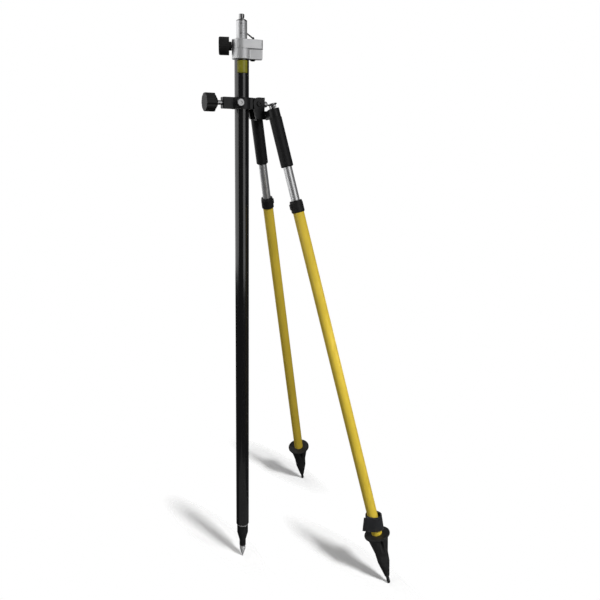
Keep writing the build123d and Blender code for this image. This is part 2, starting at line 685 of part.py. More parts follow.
def lock_sleeve():
    mouth = -CAP_ROOF - UPPER_LEN
    low = mouth - SLEEVE_LEN
    body = rod(UPPER_BORE_R - FIT, mouth, mouth + SLEEVE_PLUG) + rod(LOWER_BORE_R - RUN, low, mouth)
    top, narrow, wide = lock_cone_outline(GAP)
    slot = bar((0, LOWER_BORE_R), (-SLEEVE_SLOT / 2, SLEEVE_SLOT / 2), (low - CUT, low + LOCK_CONE_LEN))
    bores = [rod(ROD_DIA / 2 + RUN, low, mouth + SLEEVE_PLUG + CUT)]
    bores.append(turned((0, low - CUT), (wide, low - CUT), (wide, low), (narrow, top), (0, top)))
    return body - bores - spread(slot, SLEEVE_SLOTS)


def push_rod():
    low = -CAP_ROOF - UPPER_LEN - SLEEVE_LEN
    top, narrow, wide = lock_cone_outline(0)
    end = low - LOCK_CONE_END
    cone = turned((0, end), (wide, end), (wide, low), (narrow, top), (0, top))
    return cone + rod(ROD_DIA / 2, low, BUTTON_RISE)


def thumb_button():
    disc = rod(BUTTON_DIA / 2, BUTTON_RISE, BUTTON_RISE + BUTTON_H)
    return fillet(rim(disc, True) + rim(disc, False), BUTTON_ROUND)


def biarc(start, start_way, end, end_way):
    """Two tangent arcs that leave start along start_way and reach end along end_way."""
    span, ways = end - start, start_way + end_way
    square = 2 * (1 - start_way.dot(end_way))
    reach = (math.sqrt(span.dot(ways) ** 2 + square * span.dot(span)) - span.dot(ways)) / square
    first, second = start + start_way * reach, end - end_way * reach
    middle = (first + second) / 2
    into = Edge.make_tangent_arc(start, start_way, middle)
    return [into, Edge.make_tangent_arc(middle, second - first, end)]


def spring_point(turn):
    """Point on the spring's centre line, with its direction there."""
    angle = 2 * math.pi * turn
    low = SPRING_WIRE / 2 + GAP
    rise = (BUTTON_RISE - 2 * low) / SPRING_TURNS
    point = Vector(SPRING_R * math.cos(angle), SPRING_R * math.sin(angle), low + rise * turn)
    circle = 2 * math.pi * SPRING_R
    way = Vector(-circle * math.sin(angle), circle * math.cos(angle), rise)
    return point, way.normalized()


def button_spring():
    edges = []
    for quarter in range(4 * SPRING_TURNS):
        edges += biarc(*spring_point(quarter / 4), *spring_point((quarter + 1) / 4))
    path = Wire(edges)
    start, way = spring_point(0)
    spring = sweep(Plane(start, z_dir=way) * Circle(SPRING_WIRE / 2), path=path)
    count = SPRING_TURNS * TURN_SAMPLES
    points = [path @ (i / count) for i in range(count + 1)]
    nearest = min((a - b).length for i, a in enumerate(points) for b in points[i + TURN_SAMPLES // 2:])
    return spring, nearest - SPRING_WIRE


def leg_collar():
    top, tube_top = lower_length(), lower_tube_top()
    low = top - COLLAR_LEN
    wide = COLLAR_DIA / 2
    body = turned((0, low), (wide - COLLAR_EDGE, low), (wide, low + COLLAR_EDGE), (wide, top - COLLAR_TAPER),
                  (COLLAR_TOP_DIA / 2, top), (0, top))
    rib_x = (-wide - COLLAR_RIB_RISE, 0)
    rib_z = (low + COLLAR_RIB_LOW, low + COLLAR_RIB_LOW + COLLAR_RIB_LEN)
    body += bar(rib_x, (-COLLAR_RIB_WIDTH / 2, COLLAR_RIB_WIDTH / 2), rib_z)
    bush_r = UPPER_DIA / 2 + RUN + COLLAR_BUSH_WALL
    bores = [rod(LOWER_DIA / 2 + FIT, low - CUT, tube_top), rod(UPPER_DIA / 2 + GAP, tube_top, top + CUT)]
    bores.append(rod(bush_r + FIT, tube_top - FIT, top - COLLAR_LIP))
    return body - bores


def collar_bush():
    outer = UPPER_DIA / 2 + RUN + COLLAR_BUSH_WALL
    return pipe(outer, UPPER_DIA / 2 + RUN, lower_tube_top(), lower_tube_top() + COLLAR_BUSH_H)


def lower_tube():
    return pipe(LOWER_DIA / 2, LOWER_BORE_R, FOOT_LEN - FOOT_SOCKET, lower_tube_top())


def leg_foot():
    flange_low = FOOT_LEN - FLANGE_H
    flange = rod(FLANGE_DIA / 2, flange_low, FOOT_LEN)
    flange = fillet(rim(flange, True) + rim(flange, False), FLANGE_ROUND)
    flare_end, taper = FOOT_LEN - FLARE_DROP, FOOT_LEN - TAPER_DROP
    spike = turned((0, flange_low), (FLARE_TOP_DIA / 2, flange_low), (FLARE_END_DIA / 2, flare_end),
                   (TAPER_DIA / 2, taper), (TAPER_END_DIA / 2, TIP_LEN), (0, TIP_LEN))
    flute = Pos(FLUTE_FLOOR + FLUTE_R, 0, 0) * rod(FLUTE_R, flare_end, flange_low)
    spike -= spread(flute, FLUTES, FLUTE_TURN)
    bores = [rod(LOWER_DIA / 2 + FIT, FOOT_LEN - FOOT_SOCKET, FOOT_LEN + CUT)]
    bores.append(rod(TIP_DIA / 2 + FIT, TIP_LEN - CUT, TIP_LEN + TIP_BITE))
    return flange + spike - bores


def foot_tip():
    return fillet(rim(rod(TIP_DIA / 2, 0, TIP_LEN + TIP_BITE), False), TIP_DIA / 2 - FIT)


def leg_strap():
    """Loose oval band wound outwards in half turns, which hangs more upright than the tube in it."""
    lean = leg_lean("front")
    slant = (1 - STRAP_LEAN) * lean
    play = LOWER_DIA / math.cos(slant) + STRAP_WIDTH * math.tan(slant) - LOWER_DIA
    band = Sketch()
    for half in range(STRAP_HALF_TURNS):
        radius = LOWER_DIA / 2 + GAP + STRAP_THICK / 2 + STRAP_PITCH / 2 * half
        centre = STRAP_PITCH / 2 * (half % 2)
        side = -1 if half % 2 == 0 else 1
        outer, inner = (SlotCenterToCenter(play, 2 * radius + wall) for wall in (STRAP_THICK, -STRAP_THICK))
        reach = radius + STRAP_THICK + play
        ring = Rot(0, 0, 90) * (outer - inner)
        band += Pos(centre, 0) * (ring & Pos(0, side * reach / 2) * Rectangle(2 * reach, reach))
    band += Pos(centre + side * radius, -side * STRAP_FLAP / 2) * Rectangle(STRAP_THICK, STRAP_FLAP)
    strap = Pos(0, 0, -STRAP_WIDTH / 2) * Rot(0, 0, 90) * extrude(band, amount=STRAP_WIDTH)
    middle = tip_place("front") * Pos(0, 0, STRAP_RISE)
    uphill = middle.position - tip_place("front").position
    heading = math.degrees(math.atan2(uphill.Y, uphill.X))
    return Pos(middle.position) * Rot(0, 0, heading) * Rot(0, math.degrees(STRAP_LEAN * lean), 0) * strap


# Places of the leg pieces


def bolt_place():
    return Pos(BOLT_X, 0, CLAMP_Z)


def bracket_place(leg):
    return bolt_place() * Rot(0, -SWING[leg], 0)


def cap_place(leg):
    """Top of the leg's cap, with the leg along its own Z and its inboard side along its own +Y."""
    side = SIDE[leg]
    pin = bracket_place(leg) * Pos(PIN_X, side * PIN_Y, -PIN_DROP) * Rot(side * SPLAY[leg], 0, 0)
    return pin * Pos(0, side * (LEG_Y - PIN_Y), CAP_PIN) * Rot(0, 0, 180 if side > 0 else 0)


def leg_lean(leg):
    """Angle between the leg and the upright, in radians."""
    return math.acos(math.cos(math.radians(SWING[leg])) * math.cos(math.radians(SPLAY[leg])))


def leg_length(leg):
    """From the cap's top to the tip, so that the round tip just touches the ground."""
    return TIP_DIA / 2 + (cap_place(leg).position.Z - TIP_DIA / 2) / math.cos(leg_lean(leg))


def lower_length():
    """From the tip to the collar's top, alike on both legs."""
    return min(leg_length(leg) for leg in SIDE) - CAP_LEN - GRIP_LEN - UPPER_SHOW


def lower_tube_top():
    return lower_length() - COLLAR_LIP - COLLAR_BUSH_H


def tip_place(leg):
    return cap_place(leg) * Pos(0, 0, -leg_length(leg))


# All pieces


def pole_pieces():
    head = Rot(0, 0, HEAD_TURN)
    upright = {"steel_point": steel_point(), "tip_nut": tip_nut(), "tip_ferrule": tip_ferrule(),
               "tip_insert": tip_insert(), "pole_tube": pole_tube(), "guide_bush": guide_bush(),
               "inner_tube": inner_tube(), "inner_slider": inner_slider(), "top_spigot": top_spigot()}
    on_head = {"lock_base": lock_base(), "lock_head": lock_head(), "join_screws": join_screws(),
               "vial_cup": vial_cup(), "vial_glass": vial_glass(), "adjust_screw": adjust_screw(),
               "lock_pad": lock_pad(), "lock_knob": lock_knob(), "lock_screw": lock_screw(),
               "pawl_base": pawl_base(), "pawl_pin": pawl_pin(), "height_pawl": height_pawl()}
    return upright | {name: head * piece for name, piece in on_head.items()}


def clamp_pieces():
    made = {"clamp_bush": clamp_bush(), "clamp_body": clamp_body(), "ring_screw": ring_screw(),
            "tension_screw": tension_screw(), "clamp_pad": clamp_pad(), "clamp_screw": clamp_screw(),
            "clamp_knob": clamp_knob(), "pivot_bolt": pivot_bolt(), "pivot_nut": pivot_nut()}
    return {name: Pos(0, 0, CLAMP_Z) * piece for name, piece in made.items()}


def leg_pieces():
    bracket = swing_bracket()
    spring, spring_gap = button_spring()
    print("least gap between the turns of a button spring:", round(spring_gap, 2), "mm")
    upper = {"splay_pin": splay_pin(), "leg_cap": leg_cap(), "leg_grip": leg_grip(),
             "upper_tube": upper_tube(), "lock_sleeve": lock_sleeve(), "push_rod": push_rod(),
             "thumb_button": thumb_button(), "button_spring": spring}
    lower = {"leg_collar": leg_collar(), "collar_bush": collar_bush(), "lower_tube": lower_tube(),
             "leg_foot": leg_foot(), "foot_tip": foot_tip()}
    pieces = {"leg_strap": leg_strap()}
    for leg, side in SIDE.items():
        turned_bracket = bracket if side < 0 else mirror(bracket, about=Plane.XZ)
        pieces[f"{leg}_bracket"] = bracket_place(leg) * turned_bracket
        pieces |= {f"{leg}_{name}": cap_place(leg) * piece for name, piece in upper.items()}
        pieces |= {f"{leg}_{name}": tip_place(leg) * piece for name, piece in lower.items()}
    return pieces


os.makedirs("parts", exist_ok=True)
for name, piece in (pole_pieces() | clamp_pieces() | leg_pieces()).items():
    export_step(piece, f"parts/{name}.step")
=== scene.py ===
import json
import math

import bpy
from mathutils import Matrix, Vector

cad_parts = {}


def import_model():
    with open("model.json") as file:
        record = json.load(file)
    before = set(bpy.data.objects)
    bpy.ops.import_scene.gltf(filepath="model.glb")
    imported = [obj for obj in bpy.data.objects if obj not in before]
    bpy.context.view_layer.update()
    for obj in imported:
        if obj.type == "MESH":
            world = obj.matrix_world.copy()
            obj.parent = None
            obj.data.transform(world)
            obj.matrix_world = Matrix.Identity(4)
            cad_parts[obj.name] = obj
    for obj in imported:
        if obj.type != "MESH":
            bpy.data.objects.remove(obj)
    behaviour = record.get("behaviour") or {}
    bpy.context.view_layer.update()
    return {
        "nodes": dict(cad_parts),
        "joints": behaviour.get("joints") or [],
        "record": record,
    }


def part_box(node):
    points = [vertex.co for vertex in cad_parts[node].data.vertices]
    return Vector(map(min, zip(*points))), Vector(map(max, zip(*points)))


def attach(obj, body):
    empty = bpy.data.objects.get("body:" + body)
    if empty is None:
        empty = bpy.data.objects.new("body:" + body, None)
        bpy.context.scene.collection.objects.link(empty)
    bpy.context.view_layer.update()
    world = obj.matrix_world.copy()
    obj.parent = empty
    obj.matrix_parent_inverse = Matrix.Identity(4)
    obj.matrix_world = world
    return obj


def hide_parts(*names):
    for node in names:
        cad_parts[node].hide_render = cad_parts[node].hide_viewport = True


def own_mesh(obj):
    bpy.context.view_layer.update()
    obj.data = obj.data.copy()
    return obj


# The looks of a survey pole and its bipod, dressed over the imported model. Metres, +Z up.

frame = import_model()
RECORD = frame["record"]
JOINTS = {joint["name"]: joint for joint in frame["joints"]}
LEGS = ("front", "rear")
MM = 0.001
CENTIMETRE = 10 * MM

# Camera, fitted to the pole's edges and to both legs in a square picture
PICTURE = 600
FOCAL_PIXELS = 623.0
PRINCIPAL = (296.8, 279.0)
CAMERA_AT = Vector((-0.5394, -1.3370, 1.0617))
CAMERA_HEADING = 27.11  # from +Y towards +X, in degrees
CAMERA_PITCH = -12.49
CAMERA_ROLL = 1.0
SENSOR = 36.0
CAMERA_ANGLE = math.atan2(CAMERA_AT.y, CAMERA_AT.x)  # where the camera stands, seen from the pole
POLE_TO_CAMERA = Vector((CAMERA_AT.x, CAMERA_AT.y, 0)).normalized()

# Light
SUN_TURN = 38.0  # degrees right of the camera, seen from the pole
SUN_RISE = 44.0  # degrees above the floor
SUN_DISTANCE = 5.0
SUN_SIZE = 0.70
SUN_POWER = 285.0
SUN_TARGET = Vector((0.15, 0, 0.3))
PANELS = {
    # name: degrees right of the camera seen from the pole, distance, low edge, high edge, width, radiance
    "right": (39.0, 1.20, 0.45, 2.30, 0.78, 0.86),
    "left": (-97.0, 1.50, 0.42, 2.60, 2.65, 0.92),
    "back_left": (-154.0, 1.60, 0.42, 2.60, 1.00, 0.80),
}
SOFT_LIGHTS = {
    # name: place, target, width, height, spread in degrees and power of lights that no surface mirrors
    "front_leg_light": (Vector((0.60, -0.90, 0.42)), Vector((0.11, -0.21, 0.30)), 0.10, 0.9, 28.0, 0.66),
    "left_fill": (Vector((-1.75, -0.60, 0.80)), Vector((0.15, 0.0, 0.65)), 1.4, 1.3, 150.0, 14.0),
    "back_fill": (Vector((-0.10, 2.10, 0.50)), Vector((0.15, 0.0, 0.60)), 1.8, 0.8, 120.0, 8.0),
}
OVERHEAD_AT = Vector((0.25, 0.45, 2.9))
OVERHEAD_SIZE = 2.8
OVERHEAD_POWER = 7.0
BOUNCE_REACH = (0.03, 0.52)  # in front of the pole
BOUNCE_WIDTH = 0.7
BOUNCE_RADIANCE = 0.105
BOUNCE_HEIGHT = 0.004
FILL_RADIANCE = 0.04

# Floor
FLOOR_RADIUS = 1.2
FLOOR_SIDES = 96
FLOOR_COLOUR = (0.70, 0.70, 0.70, 1)
SHADOW_ANGLE = math.atan2(-POLE_TO_CAMERA.y, -POLE_TO_CAMERA.x) + math.radians(SUN_TURN)
FLOOR_SHIFT = 0.13  # from a tip to the middle of its shadow
FLOOR_FADE = (0.11, 0.25)  # from the middle of a shadow to where the floor starts to fade and where it ends
FLOOR_STRETCH = (1.0, 4.0, 1.0)  # along and across the shadows
FLOOR_TIPS = ("steel_point", "front_foot_tip", "rear_foot_tip")

# Sizes that the pieces share with the solids
POLE_R = 16.0 * MM
INNER_R = 12.0 * MM
INNER_FOOT = 166.0 * MM
LOWER_R = 12.7 * MM
LOWER_MIDDLE = 531.71 * MM  # from a foot's tip up to the middle of its lower tube
UPPER_MIDDLE = 366.0 * MM  # from a cap's top down to the middle of its upper tube

# Strap
STRAP_RISE = 169.5 * MM
STRAP_WIDTH = 35.0 * MM
STRAP_LEAN = 0.42  # share of the leg's lean that the strap takes
STRAP_THICK = 1.5 * MM
STRAP_PITCH = 2.0 * MM
STRAP_HALF_TURNS = 4
STRAP_FLAP = 23.0 * MM
STRAP_CURL = 2.0 * MM
STRAP_GAP = 0.3 * MM
STRAP_STEP = 1.2 * MM
STRAP_ROWS = 15
STRAP_WAVE = 0.25 * MM
STRAP_WAVE_STEP = 0.35  # radians of the wave from one point of the band to the next
STRAP_FLARE = 2.6 * MM  # wider loop at the lower edge
STRAP_SKEW = 2.5 * MM  # slant of the flap's end

# Button springs
SPRING_R = 7.4 * MM
SPRING_WIRE_R = 0.6 * MM
SPRING_LOW = 0.9 * MM
SPRING_HIGH = 8.1 * MM
SPRING_TURNS = 3.0
SPRING_STEPS = 40
SPRING_SIDES = 12

# Label
LABEL_LOW = 1204.5 * MM
LABEL_HIGH = 1231.3 * MM
LABEL_WIDTH = 24.6 * MM
LABEL_TURN = 5.6  # degrees right of the camera, seen from the pole
LABEL_FILM = 0.08 * MM
LABEL_LIFT = 0.02 * MM  # from the pole's face to the film
LABEL_COLUMNS = 33
LABEL_ROWS = 9

# Graduation
TICK_STEP = 5.0 * MM
TICK_TOP = 1306.6 * MM
TICK_HEIGHT = 0.4 * MM
TICK_LONG = 4.6 * MM
TICK_SHORT = 2.6 * MM
TICK_FILM = 0.03 * MM
TICK_TURN = 10.0  # degrees right of the camera, seen from the pole
TICK_COLUMNS = 5
NUMBER_FIRST = 130  # centimetres
NUMBER_EVERY = 4  # ticks
NUMBER_GAP = 1.0 * MM
DIGIT_WIDTH = 1.6 * MM
DIGIT_HEIGHT = 3.2 * MM
DIGIT_STROKE = 0.42 * MM
DIGIT_PITCH = 2.3 * MM
STROKE_COLUMNS = 3
# Strokes of each figure: top, upper left, upper right, middle, lower left, lower right, foot
FIGURES = {"0": "1110111", "1": "0010010", "2": "1011101", "3": "1011011", "4": "0111010",
           "5": "1101011", "6": "1101111", "7": "1010010", "8": "1111111", "9": "1111011"}

# Vial
BUBBLE_R = 2.1 * MM
BUBBLE_HEIGHT = 0.7 * MM
BUBBLE_SINK = 0.5 * MM
BUBBLE_SIDES = 32
BUBBLE_ROWS = 9
RING_R = 2.9 * MM
RING_STROKE = 0.35 * MM
RING_FILM = 0.03 * MM

# Finishes
NOISE_SPAN = (0.3, 0.7)  # the values of a noise that a colour or a roughness is spread over
EDGE_SAMPLES = 4
ALUMINIUM = ((0.84, 0.845, 0.855), (0.90, 0.905, 0.91))
WHITE = (1, 1, 1, 1)
FOOT_BLACK = (0.009, 0.014)
INNER_ROUGHNESS = (0.42, 0.50)
LEG_ROUGHNESS = (0.31, 0.37)
SLOT_LOOKS = {
    "pole_black": "pole_lacquer", "bright_aluminium": "machined_aluminium", "black_anodised": "satin_black",
    "bright_steel": "bright_steel", "black_plastic": "moulded_black", "nylon": "natural_nylon",
    "foam_grip": "foam_rubber", "tip_rubber": "tip_rubber", "vial_glass": "vial_liquid",
    "strap_fabric": "strap_pile",
}


# Node helpers


def new_material(name):
    material = bpy.data.materials.new(name)
    material.use_nodes = True
    return material, material.node_tree, material.node_tree.nodes["Principled BSDF"]


def add(tree, kind, inputs=None, **settings):
    """New shader node with its settings and unlinked inputs."""
    node = tree.nodes.new(kind)
    for name, value in settings.items():
        setattr(node, name, value)
    for name, value in (inputs or {}).items():
        node.inputs[name].default_value = value
    return node


def coordinates(tree, stretch=(1, 1, 1), turn=None):
    """Object coordinates, turned into a piece's own axes and then stretched."""
    vector = add(tree, "ShaderNodeTexCoord").outputs["Object"]
    if turn is not None:
        rotation = add(tree, "ShaderNodeMapping", {"Rotation": turn.to_euler()})
        tree.links.new(vector, rotation.inputs["Vector"])
        vector = rotation.outputs["Vector"]
    scaling = add(tree, "ShaderNodeMapping", {"Scale": stretch})
    tree.links.new(vector, scaling.inputs["Vector"])
    return scaling.outputs["Vector"]


def noise(tree, scale, detail=3.0, along=1.0, turn=None):
    """Noise that is drawn out lengthwise where along is below 1 and squeezed into level lines above it."""
    node = add(tree, "ShaderNodeTexNoise", {"Scale": scale, "Detail": detail})
    tree.links.new(coordinates(tree, (1, 1, along), turn), node.inputs["Vector"])
    return node.outputs["Fac"]


def vary(tree, source, low, high, span=NOISE_SPAN):
    """Maps a span of the source's values to a range."""
    node = add(tree, "ShaderNodeMapRange",
               {"From Min": span[0], "From Max": span[1], "To Min": low, "To Max": high})
    tree.links.new(source, node.inputs["Value"])
    return node.outputs["Result"]


def tint(tree, source, first, second):
    """Fades between two colours by a noise."""
    node = add(tree, "ShaderNodeValToRGB")
    ramp = node.color_ramp.elements
    ramp[0].position, ramp[1].position = NOISE_SPAN
    ramp[0].color, ramp[1].color = (*first, 1), (*second, 1)
    tree.links.new(source, node.inputs["Fac"])
    return node.outputs["Color"]


def bump(tree, height, strength, distance, normal=None):
    node = add(tree, "ShaderNodeBump", {"Strength": strength, "Distance": distance})
    tree.links.new(height, node.inputs["Height"])
    if normal is not None:
        tree.links.new(normal, node.inputs["Normal"])
    return node.outputs["Normal"]


def soft_edges(tree, radius):
    """Normal that rounds the sharp edges of a machined or cast piece a little."""
    return add(tree, "ShaderNodeBevel", {"Radius": radius}, samples=EDGE_SAMPLES).outputs["Normal"]


def plug(tree, shader, **sources):
    """Links node outputs to the shader's inputs."""
    for name, source in sources.items():
        tree.links.new(source, shader.inputs[name.replace("_", " ")])


def settle(shader, **values):
    """Sets the shader's own constant inputs."""
    for name, value in values.items():
        shader.inputs[name.replace("_", " ")].default_value = value


# Materials


def pole_lacquer():
    """Glossy black lacquer with faint lengthwise streaks."""
    material, tree, shader = new_material("pole_lacquer")
    cloud = noise(tree, 9.0)
    streaks = noise(tree, 900.0, 2.0, along=0.02)
    settle(shader, Specular_IOR_Level=1.0, IOR=1.57)
    plug(tree, shader, Base_Color=tint(tree, cloud, (0.0014, 0.0014, 0.0016), (0.0026, 0.0026, 0.0029)),
         Roughness=vary(tree, streaks, 0.13, 0.19), Normal=bump(tree, noise(tree, 420.0), 0.05, 0.2 * MM))
    return material


def machined_aluminium():
    """Bright blocks of the lock head with fine level tool lines."""
    material, tree, shader = new_material("machined_aluminium")
    lines = noise(tree, 30.0, 4.0, along=90.0)
    settle(shader, Metallic=0.92)
    plug(tree, shader, Base_Color=tint(tree, noise(tree, 60.0), *ALUMINIUM),
         Roughness=vary(tree, lines, 0.46, 0.54),
         Normal=bump(tree, lines, 0.04, 0.2 * MM, soft_edges(tree, 0.6 * MM)))
    return material


def drawn_aluminium(name, smooth, rough, turn=None):
    """Bright tube with the fine lengthwise lines that drawing leaves, between two roughnesses."""
    material, tree, shader = new_material(name)
    lines = noise(tree, 1400.0, along=0.012, turn=turn)
    settle(shader, Metallic=0.94)
    plug(tree, shader, Base_Color=tint(tree, lines, *ALUMINIUM),
         Roughness=vary(tree, lines, smooth, rough), Normal=bump(tree, lines, 0.02, 0.1 * MM))
    return material


def bright_steel():
    """Turned screws, pins and buttons."""
    material, tree, shader = new_material("bright_steel")
    lines = noise(tree, 40.0, along=80.0)
    settle(shader, Metallic=1.0)
    plug(tree, shader, Base_Color=tint(tree, noise(tree, 120.0), (0.46, 0.46, 0.47), (0.56, 0.56, 0.56)),
         Roughness=vary(tree, lines, 0.20, 0.34),
         Normal=bump(tree, lines, 0.08, 0.1 * MM, soft_edges(tree, 0.3 * MM)))
    return material


def dull_steel():
    """Ground steel of the point and the grey rim above it, dulled by use."""
    material, tree, shader = new_material("dull_steel")
    lines = noise(tree, 45.0, along=60.0)
    settle(shader, Metallic=0.35, Specular_IOR_Level=0.5)
    plug(tree, shader, Base_Color=tint(tree, noise(tree, 200.0), (0.24, 0.24, 0.245), (0.30, 0.30, 0.30)),
         Roughness=vary(tree, lines, 0.40, 0.52),
         Normal=bump(tree, lines, 0.10, 0.1 * MM, soft_edges(tree, 0.3 * MM)))
    return material


def satin_black():
    """Thin powder coat on castings and turned pieces."""
    material, tree, shader = new_material("satin_black")
    coat = noise(tree, 2200.0, 2.0)
    settle(shader, Specular_IOR_Level=0.38)
    colour = tint(tree, noise(tree, 70.0), (0.003, 0.003, 0.0032), (0.0055, 0.0055, 0.0058))
    plug(tree, shader, Base_Color=colour, Roughness=vary(tree, coat, 0.32, 0.42),
         Normal=bump(tree, coat, 0.06, 0.2 * MM, soft_edges(tree, 0.7 * MM)))
    return material


def moulded_black(name="moulded_black", low=0.0045, high=0.008):
    """Black plastic with the fine grain of its mould."""
    material, tree, shader = new_material(name)
    grain = noise(tree, 2600.0, 2.0)
    settle(shader, Specular_IOR_Level=0.26)
    plug(tree, shader, Base_Color=tint(tree, noise(tree, 90.0), (low, low, low), (high, high, high)),
         Roughness=vary(tree, grain, 0.42, 0.54),
         Normal=bump(tree, grain, 0.10, 0.2 * MM, soft_edges(tree, 0.6 * MM)))
    return material


def foam_rubber():
    """Closed-cell foam of the grips."""
    material, tree, shader = new_material("foam_rubber")
    cells = add(tree, "ShaderNodeTexVoronoi", {"Scale": 1700.0})
    tree.links.new(coordinates(tree), cells.inputs["Vector"])
    settle(shader, Specular_IOR_Level=0.30)
    colour = tint(tree, noise(tree, 650.0), (0.003, 0.003, 0.0032), (0.007, 0.007, 0.0072))
    plug(tree, shader, Base_Color=colour, Roughness=vary(tree, noise(tree, 400.0), 0.40, 0.52),
         Normal=bump(tree, cells.outputs["Distance"], 0.25, 0.3 * MM))
    return material


def yellow_enamel(name, turn):
    """Golden enamel on the lower leg tubes."""
    material, tree, shader = new_material(name)
    streaks = noise(tree, 500.0, 2.0, along=0.02, turn=turn)
    settle(shader, Specular_IOR_Level=0.40)
    plug(tree, shader, Base_Color=tint(tree, noise(tree, 14.0), (0.33, 0.240, 0.022), (0.37, 0.269, 0.0275)),
         Roughness=vary(tree, streaks, 0.42, 0.52), Normal=bump(tree, noise(tree, 350.0), 0.04, 0.3 * MM))
    return material


def tip_rubber():
    """Dark grained tips of the feet."""
    material, tree, shader = new_material("tip_rubber")
    grain = noise(tree, 1800.0)
    settle(shader, Specular_IOR_Level=0.32)
    plug(tree, shader, Base_Color=tint(tree, grain, (0.010, 0.010, 0.010), (0.016, 0.016, 0.016)),
         Roughness=vary(tree, grain, 0.55, 0.75), Normal=bump(tree, grain, 0.25, 0.2 * MM))
    return material


def natural_nylon():
    """Milky plastic of the bushes and pads."""
    material, tree, shader = new_material("natural_nylon")
    settle(shader, Subsurface_Weight=0.1, Subsurface_Radius=(2.0 * MM, 2.0 * MM, 1.5 * MM))
    plug(tree, shader, Base_Color=tint(tree, noise(tree, 160.0), (0.66, 0.65, 0.60), (0.75, 0.74, 0.70)),
         Roughness=vary(tree, noise(tree, 700.0), 0.40, 0.55))
    return material


def vial_liquid():
    """Clear plastic over a pale green liquid."""
    material, tree, shader = new_material("vial_liquid")
    settle(shader, Transmission_Weight=0.75, IOR=1.40)
    plug(tree, shader, Base_Color=tint(tree, noise(tree, 300.0), (0.62, 0.86, 0.22), (0.70, 0.90, 0.30)),
         Roughness=vary(tree, noise(tree, 900.0), 0.03, 0.07))
    return material


def strap_pile():
    """Looped pile of a hook-and-loop strap."""
    material, tree, shader = new_material("strap_pile")
    loops = noise(tree, 1500.0, 4.0)
    settle(shader, Specular_IOR_Level=0.10, Sheen_Weight=0.07, Sheen_Roughness=0.45)
    plug(tree, shader, Base_Color=tint(tree, loops, (0.006, 0.0062, 0.0070), (0.016, 0.0164, 0.0180)),
         Roughness=vary(tree, loops, 0.80, 0.95), Normal=bump(tree, loops, 0.6, 0.6 * MM))
    return material


def label_film():
    """Plain olive-yellow film of the label under the lock head."""
    material, tree, shader = new_material("label_film")
    settle(shader, Specular_IOR_Level=0.60)
    colour = tint(tree, noise(tree, 130.0), (0.088, 0.083, 0.006), (0.108, 0.101, 0.009))
    plug(tree, shader, Base_Color=colour, Roughness=vary(tree, noise(tree, 500.0), 0.20, 0.28))
    return material


def tick_ink():
    """Black ink of the graduation and of the vial's ring."""
    material, tree, shader = new_material("tick_ink")
    colour = tint(tree, noise(tree, 900.0), (0.012, 0.012, 0.013), (0.022, 0.022, 0.023))
    plug(tree, shader, Base_Color=colour, Roughness=vary(tree, noise(tree, 900.0), 0.45, 0.60))
    return material


def bubble_air():
    """Pale air bubble in the vial."""
    material, tree, shader = new_material("bubble_air")
    settle(shader, Transmission_Weight=1.0, IOR=1.05)
    plug(tree, shader, Base_Color=tint(tree, noise(tree, 300.0), (0.90, 0.96, 0.70), (0.96, 1.0, 0.80)),
         Roughness=vary(tree, noise(tree, 900.0), 0.02, 0.05))
    return material


def floor_white(tips):
    """White floor that shows where each tip's shadow falls and fades into the white behind."""
    material, tree, shader = new_material("floor_white")
    settle(shader, Base_Color=FLOOR_COLOUR, Roughness=0.9, Specular_IOR_Level=0.0)
    turn = Matrix.Rotation(-SHADOW_ANGLE, 3, "Z")
    place = coordinates(tree, FLOOR_STRETCH, turn)
    nearest = None
    for tip in tips:
        reach = add(tree, "ShaderNodeVectorMath", operation="DISTANCE")
        tree.links.new(place, reach.inputs[0])
        reach.inputs[1].default_value = Vector(FLOOR_STRETCH) * (turn @ tip) + Vector((FLOOR_SHIFT, 0, 0))
        value = reach.outputs["Value"]
        if nearest is not None:
            smaller = add(tree, "ShaderNodeMath", operation="MINIMUM")
            tree.links.new(nearest, smaller.inputs[0])
            tree.links.new(value, smaller.inputs[1])
            value = smaller.outputs["Value"]
        nearest = value
    plug(tree, shader, Alpha=vary(tree, nearest, 1.0, 0.0, FLOOR_FADE))
    return material


# Places


def leg_axes(leg):
    """A leg's own axes as the solids have them: x across, z up along the leg."""
    up = -Vector(JOINTS[f"{leg}_extension"]["axis"])
    across = -Vector(JOINTS[f"{leg}_splay"]["axis"])
    return Matrix((across, up.cross(across), up)).transposed()


def middle(node):
    low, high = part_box(node)
    return (low + high) / 2


def leg_place(leg, node, along):
    """Matrix at a point of a leg's axis, given from the middle of one of its tubes."""
    axes = leg_axes(leg)
    return Matrix.Translation(middle(f"{leg}_{node}") + axes.col[2] * along) @ axes.to_4x4()


# Mesh helpers


def mesh_object(name, vertices, faces, material, place=None):
    mesh = bpy.data.meshes.new(name)
    mesh.from_pydata([tuple(v) for v in vertices], [], faces)
    if place is not None:
        mesh.transform(place)
    for polygon in mesh.polygons:
        polygon.use_smooth = True
    mesh.materials.append(material)
    mesh.validate()
    obj = bpy.data.objects.new(name, mesh)
    bpy.context.scene.collection.objects.link(obj)
    return obj


def grid_faces(rows, columns, wrap=False):
    """Quads between neighbouring rows of points; wrap joins the last column to the first."""
    faces = []
    for row in range(rows - 1):
        for column in range(columns if wrap else columns - 1):
            after = (column + 1) % columns
            a, b = row * columns, (row + 1) * columns
            faces.append((a + column, a + after, b + after, b + column))
    return faces


def join_meshes(name, parts, material):
    """One object from several (vertices, faces) pairs."""
    vertices, faces = [], []
    for points, quads in parts:
        first = len(vertices)
        vertices += points
        faces += [tuple(first + i for i in quad) for quad in quads]
    return mesh_object(name, vertices, faces, material)


def solidify(obj, thickness, offset=1.0):
    modifier = obj.modifiers.new("thickness", "SOLIDIFY")
    modifier.thickness = thickness
    modifier.offset = offset


